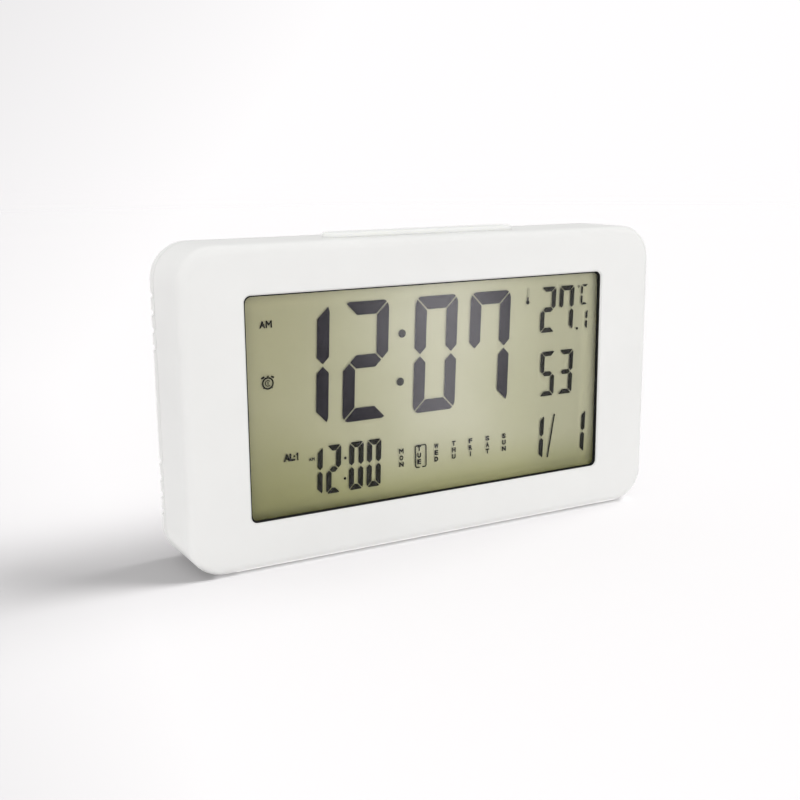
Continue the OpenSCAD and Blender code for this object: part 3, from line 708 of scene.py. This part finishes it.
def end_tree(tree, out, geometry, ink_input):
    """Makes the instances real and sets the ink on them."""
    real = add(tree, "GeometryNodeRealizeInstances", {"Geometry": geometry}).outputs[0]
    inked = add(tree, "GeometryNodeSetMaterial", {"Geometry": real, "Material": ink_input})
    tree.links.new(inked.outputs[0], out.inputs[0])
    return tree


def segment_solid(tree, sizes, corners, mirror_x, mirror_z):
    """One segment as a closed plate: a hexagon from shares of the digit's sizes, then slanted."""

    def along(shares, measures):
        index = add(tree, "GeometryNodeInputIndex").outputs[0]
        pick = add(tree, "GeometryNodeIndexSwitch", {"Index": index}, data_type="VECTOR")
        while len(pick.index_switch_items) < len(shares):
            pick.index_switch_items.new()
        for i, share in enumerate(shares):
            pick.inputs[str(i)].default_value = share
        return vector_maths(tree, "DOT_PRODUCT", pick.outputs[0], measures)

    def vector(x, y, z):
        return add(tree, "ShaderNodeCombineXYZ", {"X": x, "Y": y, "Z": z}).outputs[0]

    wide = vector(sizes["Width"], sizes["Stroke"], sizes["Gap"])
    tall = vector(sizes["Height"], sizes["Stroke"], sizes["Gap"])
    hexagon = add(tree, "GeometryNodeMeshCircle", {"Vertices": 6}, fill_type="NGON").outputs[0]
    corner = vector(
        along([c[0] for c in corners], wide), 0.0, along([c[1] for c in corners], tall)
    )
    shape = add(
        tree, "GeometryNodeSetPosition", {"Geometry": hexagon, "Position": corner}
    ).outputs[0]
    turned = add(
        tree,
        "GeometryNodeTransform",
        {
            "Geometry": shape,
            "Translation": vector(sizes["Width"] if mirror_x else 0.0, 0.0, 0.0),
            "Scale": (-1.0 if mirror_x else 1.0, 1.0, -1.0 if mirror_z else 1.0),
        },
    ).outputs[0]
    lean = maths(tree, "MULTIPLY", position(tree, "Z"), sizes["Slant"])
    leaning = add(
        tree, "GeometryNodeSetPosition", {"Geometry": turned, "Offset": vector(lean, 0.0, 0.0)}
    ).outputs[0]
    grown = add(
        tree,
        "GeometryNodeExtrudeMesh",
        {"Mesh": leaning, "Offset": vector(0.0, sizes["Thickness"], 0.0), "Individual": False},
    ).outputs["Mesh"]
    both = add(tree, "GeometryNodeJoinGeometry")
    tree.links.new(grown, both.inputs[0])
    tree.links.new(add(tree, "GeometryNodeFlipFaces", {"Mesh": leaning}).outputs[0], both.inputs[0])
    return add(
        tree, "GeometryNodeMergeByDistance", {"Geometry": both.outputs[0], "Distance": 1e-6}
    ).outputs[0]


def digit_row_tree():
    """A row of digits, one to a point; each point's number says which segments are lit."""
    labels = ("Width", "Height", "Stroke", "Gap", "Slant", "Thickness")
    tree, given, out = new_tree(
        "digit_row",
        [("Digits", "Geometry"), *((label, "Float") for label in labels), ("Ink", "Material")],
    )
    number = add(
        tree, "GeometryNodeInputNamedAttribute", {"Name": "lit"}, data_type="INT"
    ).outputs["Attribute"]
    row = add(tree, "GeometryNodeJoinGeometry")
    for bit, (corners, mirror_x, mirror_z) in enumerate(SEGMENTS):
        whole = maths(tree, "FLOOR", maths(tree, "DIVIDE", number, float(2**bit)))
        lit = maths(tree, "MODULO", whole, 2.0)
        placed = add(
            tree,
            "GeometryNodeInstanceOnPoints",
            {
                "Points": given["Digits"],
                "Selection": lit,
                "Instance": segment_solid(tree, given, corners, mirror_x, mirror_z),
            },
        ).outputs[0]
        tree.links.new(placed, row.inputs[0])
    return end_tree(tree, out, row.outputs[0], given["Ink"])


def grow(name, tree, inputs, finish, points=(), numbers=None):
    """Runs a node tree over these points and keeps the result as a plain mesh piece."""
    seed = bpy.data.meshes.new(name + "_points")
    seed.from_pydata([tuple(p) for p in points], [], [])
    if numbers:
        seed.attributes.new("lit", "INT", "POINT").data.foreach_set("value", numbers)
    holder = bpy.data.objects.new(name + "_points", seed)
    bpy.context.scene.collection.objects.link(holder)
    modifier = holder.modifiers.new(name, "NODES")
    modifier.node_group = tree
    for item in tree.interface.items_tree:
        if item.in_out == "INPUT" and item.name in inputs:
            modifier[item.identifier] = inputs[item.name]
    bpy.context.view_layer.update()
    made = bpy.data.meshes.new_from_object(
        holder.evaluated_get(bpy.context.evaluated_depsgraph_get())
    )
    made.name = name
    bpy.data.objects.remove(holder)
    tidy = bmesh.new()
    tidy.from_mesh(made)
    bmesh.ops.remove_doubles(tidy, verts=tidy.verts, dist=1e-7)
    bmesh.ops.recalc_face_normals(tidy, faces=tidy.faces)
    tidy.to_mesh(made)
    tidy.free()
    place_piece(name, made, finish)


# What the display shows, in millimetres on an upright plane close before the reflector, where
# refraction in the back glass makes it appear to lie

INK_TO_BACK = 0.00033
segment_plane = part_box("lcd_cell")[1].y - INK_TO_BACK
INK_THICKNESS = 0.00003
segment_ink = ink("dark_segments", (0.014, 0.012, 0.019), 0.6, 0.02)
fine_ink = ink("fine_marks", (0.008, 0.009, 0.002), 0.6, 0.02)
digit_row = digit_row_tree()
SLANT = 0.038
# Rows: name, digits with their left edges, middle height, digit width, height, stroke, gap
ROWS = [
    ("time_digits", "1207", (-46.60, -28.56, -6.39, 11.72), 53.01, 13.77, 32.86, 3.64, 0.45),
    ("alarm_digits", "1200", (-39.80, -34.26, -27.34, -21.79), 24.01, 4.42, 13.56, 1.56, 0.3),
    ("temperature_digits", "27", (36.82, 43.56), 62.66, 5.3, 13.51, 1.41, 0.32),
    ("humidity_digits", "53", (36.95, 43.71), 43.36, 5.25, 13.51, 1.41, 0.32),
    ("date_digits", "11", (33.24, 48.84), 23.96, 5.28, 13.45, 1.41, 0.28),
    ("tenth_digit", "1", (51.51,), 58.78, 2.66, 6.1, 0.74, 0.3),
    ("unit_letter", "C", (51.56,), 66.38, 2.6, 6.1, 0.66, 0.28),
]
for name, digits, lefts, middle, width, height, stroke, gap in ROWS:
    row_ink = segment_ink if name == "time_digits" else fine_ink
    grow(
        name,
        digit_row,
        {
            "Width": width * MM,
            "Height": height * MM,
            "Stroke": stroke * MM,
            "Gap": gap * MM,
            "Slant": SLANT,
            "Thickness": INK_THICKNESS,
            "Ink": row_ink,
        },
        row_ink,
        [(x * MM, segment_plane, middle * MM) for x in lefts],
        [LIT[d] for d in digits],
    )

signs = Marks(segment_plane, segment_plane + INK_THICKNESS)
for x, z, radius in (
    (-10.24, 59.63, 1.15),
    (-10.94, 46.14, 1.15),
    (-28.47, 26.63, 0.4),
    (-28.68, 20.85, 0.4),
    (50.32, 56.22, 0.42),
):
    signs.disc(x, z, radius)
# The stroke between day and month, and the degree ring
signs.bar((42.52, 30.71), (40.15, 17.42), 0.5)
signs.ring(50.61, 68.89, 0.36, 0.2, 20)
# Alarm clock: two rings, then the hand, bells, knob and feet
ALARM_X, ALARM_Z = -50.59, 49.81
signs.ring(ALARM_X, ALARM_Z, 1.66, 1.26)
signs.ring(ALARM_X, ALARM_Z, 0.84, 0.63, 24, 40, 280)
for start, end, width in (
    ((-50.56, 50.26), (-50.56, 49.34), 0.24),
    ((-52.44, 51.19), (-51.53, 51.59), 0.5),
    ((-49.63, 51.59), (-48.83, 51.19), 0.5),
    ((-50.83, 51.69), (-50.23, 51.69), 0.3),
    ((-51.93, 48.48), (-51.48, 48.88), 0.32),
    ((-49.68, 48.88), (-49.28, 48.48), 0.32),
):
    signs.bar(start, end, width)
# Thermometer: bulb, column and the empty stem above it
signs.disc(32.05, 65.33, 0.58)
signs.bar((32.05, 65.48), (32.10, 66.84), 0.5)
for side in (-1, 1):
    signs.bar((32.11 + side * 0.28, 66.89), (32.15 + side * 0.28, 69.19), 0.07)
signs.ring(32.15, 69.19, 0.315, 0.245, 14, 0, 180)
# The words, the last two in small letters before the second time
signs.word("A", (-52.46, 64.37), (-50.78, 66.28), 0.05)
signs.letter_m((-50.68, 64.37), (-48.93, 66.28), 0.38)
signs.word("AL:", (-46.81, 27.95), (-43.43, 30.11), 0.055)
signs.bar((-42.68, 27.95), (-42.68, 30.11), 0.38)
signs.bar((-42.72, 30.0), (-43.15, 29.55), 0.26)
signs.word("A", (-39.46, 27.24), (-38.62, 28.05), 0.055)
signs.letter_m((-38.56, 27.2), (-37.69, 28.1), 0.22)
signs.piece("display_signs", fine_ink, "display_ink")

days = Marks(segment_plane, segment_plane + INK_THICKNESS)
DAY_NAMES = ("MON", "TUE", "WED", "THU", "FRI", "SAT", "SUN")
DAY_PLACES = (-10.81, -4.99, 0.71, 6.59, 12.34, 18.28, 24.10)
LETTER_PLACES = (26.18, 24.21, 22.30)
HALF_HEIGHT = 0.72
for word, x in zip(DAY_NAMES, DAY_PLACES):
    for letter, z in zip(word, LETTER_PLACES):
        half = 0.18 if letter == "I" else 0.72 if letter in "MNW" else 0.62
        low, high = (x - half, z - HALF_HEIGHT), (x + half, z + HALF_HEIGHT)
        if letter == "M":
            days.letter_m(low, high, 0.31)
        else:
            days.word(letter, low, high, 0.05)
# The box round the day that is on, open in the middle of its lower edge
left, right, top, base, line, round_r = -6.20, -2.73, 27.10, 20.69, 0.34, 0.55
days.bar((left, base + round_r), (left, top - round_r), line)
days.bar((right, base + round_r), (right, top - round_r), line)
days.bar((left + round_r, top), (right - round_r, top), line)
days.bar((left + round_r, base), (left + 1.35, base), line)
days.bar((right - 1.3, base), (right - round_r, base), line)
for x, z, start in (
    (left + round_r, top - round_r, 90),
    (right - round_r, top - round_r, 0),
    (left + round_r, base + round_r, 180),
    (right - round_r, base + round_r, 270),
):
    days.ring(x, z, round_r + line / 2, round_r - line / 2, 6, start, 90)
days.piece("weekday_signs", fine_ink, "display_ink")


# Printed dots on the back of the light guide

PRINT_THICKNESS = 0.00002


def guide_dots_tree():
    """White dots on a grid, small beside the lamps at both ends and larger towards the middle."""
    tree, given, out = new_tree(
        "guide_dots",
        [
            ("Points", "Geometry"),
            ("Width", "Float"),
            ("Height", "Float"),
            ("Columns", "Int"),
            ("Rows", "Int"),
            ("Dot Radius", "Float"),
            ("Middle", "Vector"),
            ("Ink", "Material"),
        ],
    )
    grid = add(
        tree,
        "GeometryNodeMeshGrid",
        {
            "Size X": given["Width"],
            "Size Y": given["Height"],
            "Vertices X": given["Columns"],
            "Vertices Y": given["Rows"],
        },
    ).outputs["Mesh"]
    upright = add(
        tree,
        "GeometryNodeTransform",
        {"Geometry": grid, "Rotation": (math.radians(90), 0, 0), "Translation": given["Middle"]},
    ).outputs[0]
    dot = add(
        tree,
        "GeometryNodeMeshCylinder",
        {"Vertices": 8, "Radius": given["Dot Radius"], "Depth": PRINT_THICKNESS},
    ).outputs["Mesh"]
    flat_dot = add(
        tree, "GeometryNodeTransform", {"Geometry": dot, "Rotation": (math.radians(90), 0, 0)}
    ).outputs[0]
    away = maths(tree, "ABSOLUTE", position(tree, "X"))
    half = maths(tree, "DIVIDE", given["Width"], 2.0)
    size = add(
        tree,
        "ShaderNodeMapRange",
        {"Value": away, "From Min": 0.0, "From Max": half, "To Min": 1.0, "To Max": 0.4},
    ).outputs["Result"]
    placed = add(
        tree,
        "GeometryNodeInstanceOnPoints",
        {"Points": upright, "Instance": flat_dot, "Scale": size},
    ).outputs[0]
    return end_tree(tree, out, placed, given["Ink"])


guide_low, guide_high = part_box("light_guide")
guide_middle = (guide_low + guide_high) / 2
white_ink = ink("white_dot_print", (0.88, 0.88, 0.88), 0.6)
BARE_RIM = 2 * MM
grow(
    "guide_dots",
    guide_dots_tree(),
    {
        "Width": guide_high.x - guide_low.x - 2 * BARE_RIM,
        "Height": guide_high.z - guide_low.z - 2 * BARE_RIM,
        "Columns": 47,
        "Rows": 25,
        "Dot Radius": 0.75 * MM,
        "Middle": (guide_middle.x, guide_high.y, guide_middle.z),
        "Ink": white_ink,
    },
    white_ink,
)


# Printed marks on the back

back_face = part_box("battery_door")[1].y
grey_print = ink("grey_print", (0.2, 0.2, 0.205), 0.5)
marks = Marks(back_face, back_face + PRINT_THICKNESS, seen_from_behind=True)


def label(text, x, z, height, length):
    """A word on the back, centred at a place given in the clock's own frame."""
    marks.word(text, (-x - length / 2, z - height / 2), (-x + length / 2, z + height / 2))


BELOW_KEY, KEY_LETTERS, RESET_LETTERS = 1.0, 1.7, 1.4
for key, text, length in (
    ("mode_key", "MODE", 7.2),
    ("set_key", "SET", 4.9),
    ("up_key", "UP", 3.3),
    ("down_key", "DOWN", 7.6),
    ("alarm_key", "ALARM", 8.6),
):
    low, high = (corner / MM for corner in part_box(key))
    label(text, (low.x + high.x) / 2, low.z - BELOW_KEY, KEY_LETTERS, length)
label("RESET", 46.5, 62.6, RESET_LETTERS, 5.6)
marks.piece("back_labels", grey_print, "printed_marks")


# Studio

# The camera's place and axes
SEEN_FROM = Vector((-0.163774, -0.281545, 0.107550))
RIGHT = Vector((0.87162936, -0.49009447, -0.00834716))
UP = Vector((0.10926222, 0.1776649, 0.97800662))
AHEAD = Vector((0.47783264, 0.85337131, -0.20840675))
# The photograph's fall-off of light to the upper and the lower left: the share left along a way is
# its part along one of these, over its part ahead. It fades out beyond the picture's edge.
TO_UPPER_LEFT = 1.152 * AHEAD + 0.5 * RIGHT - 0.365 * UP
TO_LOWER_LEFT = 1.155 * AHEAD + 0.53 * RIGHT + 0.2 * UP
MOST_LOST = 0.2
OUT_OF_PICTURE, IN_PICTURE = 0.7, 0.88


def fall_off(tree, way):
    """The share of light left along this way, from 0.8 to 1, and all of it out of the picture."""
    unit = vector_maths(tree, "NORMALIZE", way)
    above = vector_maths(tree, "DOT_PRODUCT", unit, tuple(TO_UPPER_LEFT))
    below = vector_maths(tree, "DOT_PRODUCT", unit, tuple(TO_LOWER_LEFT))
    ahead = vector_maths(tree, "DOT_PRODUCT", unit, tuple(AHEAD))
    least = maths(tree, "MINIMUM", above, below)
    share = maths(tree, "DIVIDE", least, maths(tree, "MAXIMUM", ahead, 0.02))
    lost = maths(tree, "MAXIMUM", maths(tree, "SUBTRACT", 1.0, share), 0.0)
    lost = maths(tree, "MINIMUM", lost, MOST_LOST)
    inside = add(
        tree,
        "ShaderNodeMapRange",
        {"Value": ahead, "From Min": OUT_OF_PICTURE, "From Max": IN_PICTURE},
        interpolation_type="SMOOTHSTEP",
    ).outputs["Result"]
    return maths(tree, "SUBTRACT", 1.0, maths(tree, "MULTIPLY", lost, inside))


CARD_GLOW = 0.176
# Metres from the clock between which the card thins out
THIN_FROM, THIN_TO = 4 / 3, 12.5


def studio_card():
    """Matte white card that glows a little where it is seen and has no edge far away."""
    f = Finish("studio_card")
    share = fall_off(f.tree, f.vector_maths("SUBTRACT", f.place, tuple(SEEN_FROM)))
    paper = f.remap(f.noise(0.05, 3.0), 0.3, 0.7, 0.0, 0.006)
    tone = f.blend(paper, (0.293, 0.288, 0.29, 1), (0.25, 0.25, 0.25, 1))
    tone = f.blend(1.0, tone, share, "MULTIPLY")
    rays = f.node("ShaderNodeLightPath").outputs
    mirrored = f.maths("MAXIMUM", rays["Is Glossy Ray"], rays["Is Transmission Ray"])
    seen = f.maths("MAXIMUM", rays["Is Camera Ray"], mirrored)
    strength = f.maths("MULTIPLY", f.maths("MULTIPLY", seen, share), CARD_GLOW)
    glow = f.node(
        "ShaderNodeEmission", {"Color": (1.0, 0.983, 0.99, 1), "Strength": strength}
    ).outputs[0]
    matte = f.node("ShaderNodeBsdfDiffuse", {"Color": tone}).outputs[0]
    card = f.node("ShaderNodeAddShader", {0: matte, 1: glow}).outputs[0]
    nearness = f.maths("DIVIDE", 1.0, f.vector_maths("LENGTH", f.place))
    thin = f.remap(nearness, 1 / THIN_TO, 1 / THIN_FROM, 1.0, 0.0)
    thin = f.maths("MULTIPLY", thin, rays["Is Camera Ray"])
    nothing = f.node("ShaderNodeBsdfTransparent").outputs[0]
    return f.done(f.node("ShaderNodeMixShader", {0: thin, 1: card, 2: nothing}).outputs[0])


floor_mesh = bpy.data.meshes.new("studio_floor")
FLOOR_REACH = 30.0
corners = [(x * FLOOR_REACH, y * FLOOR_REACH, 0) for x, y in ((-1, -1), (1, -1), (1, 1), (-1, 1))]
floor_mesh.from_pydata(corners, [], [(0, 1, 2, 3)])
floor = bpy.data.objects.new("studio_floor", floor_mesh)
floor.data.materials.append(studio_card())
bpy.context.scene.collection.objects.link(floor)


# Light of the room on the object: its level, the lift in front and the dip low behind
ROOM_LEVEL, FRONT_LIFT, BACK_DIP = 0.955, 0.39, 0.3
# The backdrop's own level, which meets the card's
BACKDROP_LEVEL = 1.006


def pale_room():
    """A white room, brightest low in front, whose backdrop is greyer up to the left."""
    world = bpy.data.worlds.new("pale_room")
    world.use_nodes = True
    tree = world.node_tree
    tree.nodes.clear()
    way = add(tree, "ShaderNodeTexCoord").outputs["Generated"]

    def towards(direction, start, end, low, high):
        """From low to high as the view turns towards a direction."""
        across = vector_maths(tree, "DOT_PRODUCT", way, direction)
        return add(
            tree,
            "ShaderNodeMapRange",
            {"Value": across, "From Min": start, "From Max": end, "To Min": low, "To Max": high},
        ).outputs["Result"]

    rays = add(tree, "ShaderNodeLightPath").outputs
    direct = maths(tree, "MAXIMUM", rays["Is Camera Ray"], rays["Is Transmission Ray"])
    dip = towards((0.48, 0.86, 0.17), 0.5, 0.9, 0.0, BACK_DIP)
    glossy = maths(tree, "SUBTRACT", 1.0, dip)
    shown = add(
        tree, "ShaderNodeMix", {0: direct, 2: glossy, 3: fall_off(tree, way)}, data_type="FLOAT"
    ).outputs[0]
    backdrop = maths(tree, "MULTIPLY", shown, BACKDROP_LEVEL)
    seen = add(
        tree, "ShaderNodeBackground", {"Color": (1.0, 0.985, 0.992, 1), "Strength": backdrop}
    )
    lift = towards((-0.45, -0.86, -0.25), 0.2, 1.0, 0.0, FRONT_LIFT)
    level = maths(tree, "SUBTRACT", maths(tree, "ADD", ROOM_LEVEL, lift), dip)
    even = add(tree, "ShaderNodeBackground", {"Color": (1.0, 1.0, 1.0, 1), "Strength": level})
    both = add(
        tree,
        "ShaderNodeMixShader",
        {
            0: maths(tree, "MAXIMUM", direct, rays["Is Glossy Ray"]),
            1: even.outputs[0],
            2: seen.outputs[0],
        },
    ).outputs[0]
    add(tree, "ShaderNodeOutputWorld", {"Surface": both})
    return world


bpy.context.scene.world = pale_room()


def lamp(name, kind, place, energy, only_on, **settings):
    """A lamp that lights only the objects named."""
    data = bpy.data.lights.new(name, kind)
    data.energy = energy
    for key, value in settings.items():
        setattr(data, key, value)
    made = bpy.data.objects.new(name, data)
    bpy.context.scene.collection.objects.link(made)
    made.location = place
    group = bpy.data.collections.new(name + "_falls_on")
    for thing in only_on:
        group.objects.link(thing)
    made.light_linking.receiver_collection = group
    return made


# Two soft suns from the right, on the card alone, for the shadow on the left: name, bearing,
# height and width in degrees, strength
for name, bearing, height, wide, energy in (
    ("low_sun", -7.5, 38.3, 41.9, 5.35),
    ("high_sun", -21.1, 52.2, 25.6, 3.3),
):
    bearing, height = math.radians(bearing), math.radians(height)
    way = Vector((math.cos(bearing), math.sin(bearing), math.tan(height)))
    sun = lamp(name, "SUN", way, energy, [floor], angle=math.radians(wide))
    sun.rotation_mode = "QUATERNION"
    sun.rotation_quaternion = way.to_track_quat("Z", "Y")

film_alone = [parts["front_polariser"]]
shell = [parts["front_housing"], parts["rear_cover"]]
# Strips low in front, to the right, that the display's film mirrors as a soft sheen; light from the
# card back up under the case, on the left wall's foot and the front's lower edge; and light under
# the front edge, which keeps the line where the clock stands pale. Each is given as name, two ends,
# height over the card, width, strength, what it lights, and whether it faces up.
for name, start, end, rise, width, energy, only_on, facing_up in (
    ("far_sheen", (0.17, -0.29), (0.49, -0.79), 0.001, 0.07, 1.45, film_alone, True),
    ("near_sheen", (0.062, -0.105), (0.17, -0.29), 0.001, 0.035, 0.16, film_alone, True),
    ("left_bounce", (-0.115, 0.005), (-0.075, 0.005), 0.0005, 0.04, 0.0021, shell, True),
    ("front_bounce", (-0.062, -0.011), (0.066, -0.011), 0.0002, 0.0009, 0.00048, shell, True),
    ("gap_light", (-0.068, -0.0106), (0.072, -0.0106), 0.0003, 0.003, 0.00075, [floor], False),
):
    start, end = Vector((*start, rise)), Vector((*end, rise))
    run, middle = end - start, (start + end) / 2
    strip = lamp(
        name, "AREA", middle, energy, only_on, shape="RECTANGLE", size=run.length, size_y=width
    )
    strip.rotation_euler = (math.pi if facing_up else 0, 0, math.atan2(run.y, run.x))
    strip.visible_camera = False
# A soft lamp to the right in front, which the face's right side is nearer to
right_lamp = lamp(
    "right_lamp", "AREA", (0.42, -0.45, 0.05), 0.15, shell, shape="SQUARE", size=0.2
)
right_lamp.rotation_euler = (math.radians(90), 0, math.radians(45))
right_lamp.visible_camera = False

camera_data = bpy.data.cameras.new("photo_camera")
camera_data.sensor_width = 36.0
camera_data.lens = 51.512
camera_data.clip_start = 0.01
camera_data.clip_end = 50.0
camera = bpy.data.objects.new("photo_camera", camera_data)
bpy.context.scene.collection.objects.link(camera)
facing = Matrix((RIGHT, UP, -AHEAD)).transposed()
camera.matrix_world = Matrix.Translation(SEEN_FROM) @ facing.to_4x4()
bpy.context.scene.camera = camera
bpy.context.scene.view_settings.view_transform = "Standard"
# The display is four clear faces deep each way
bpy.context.scene.cycles.transparent_max_bounces = 24
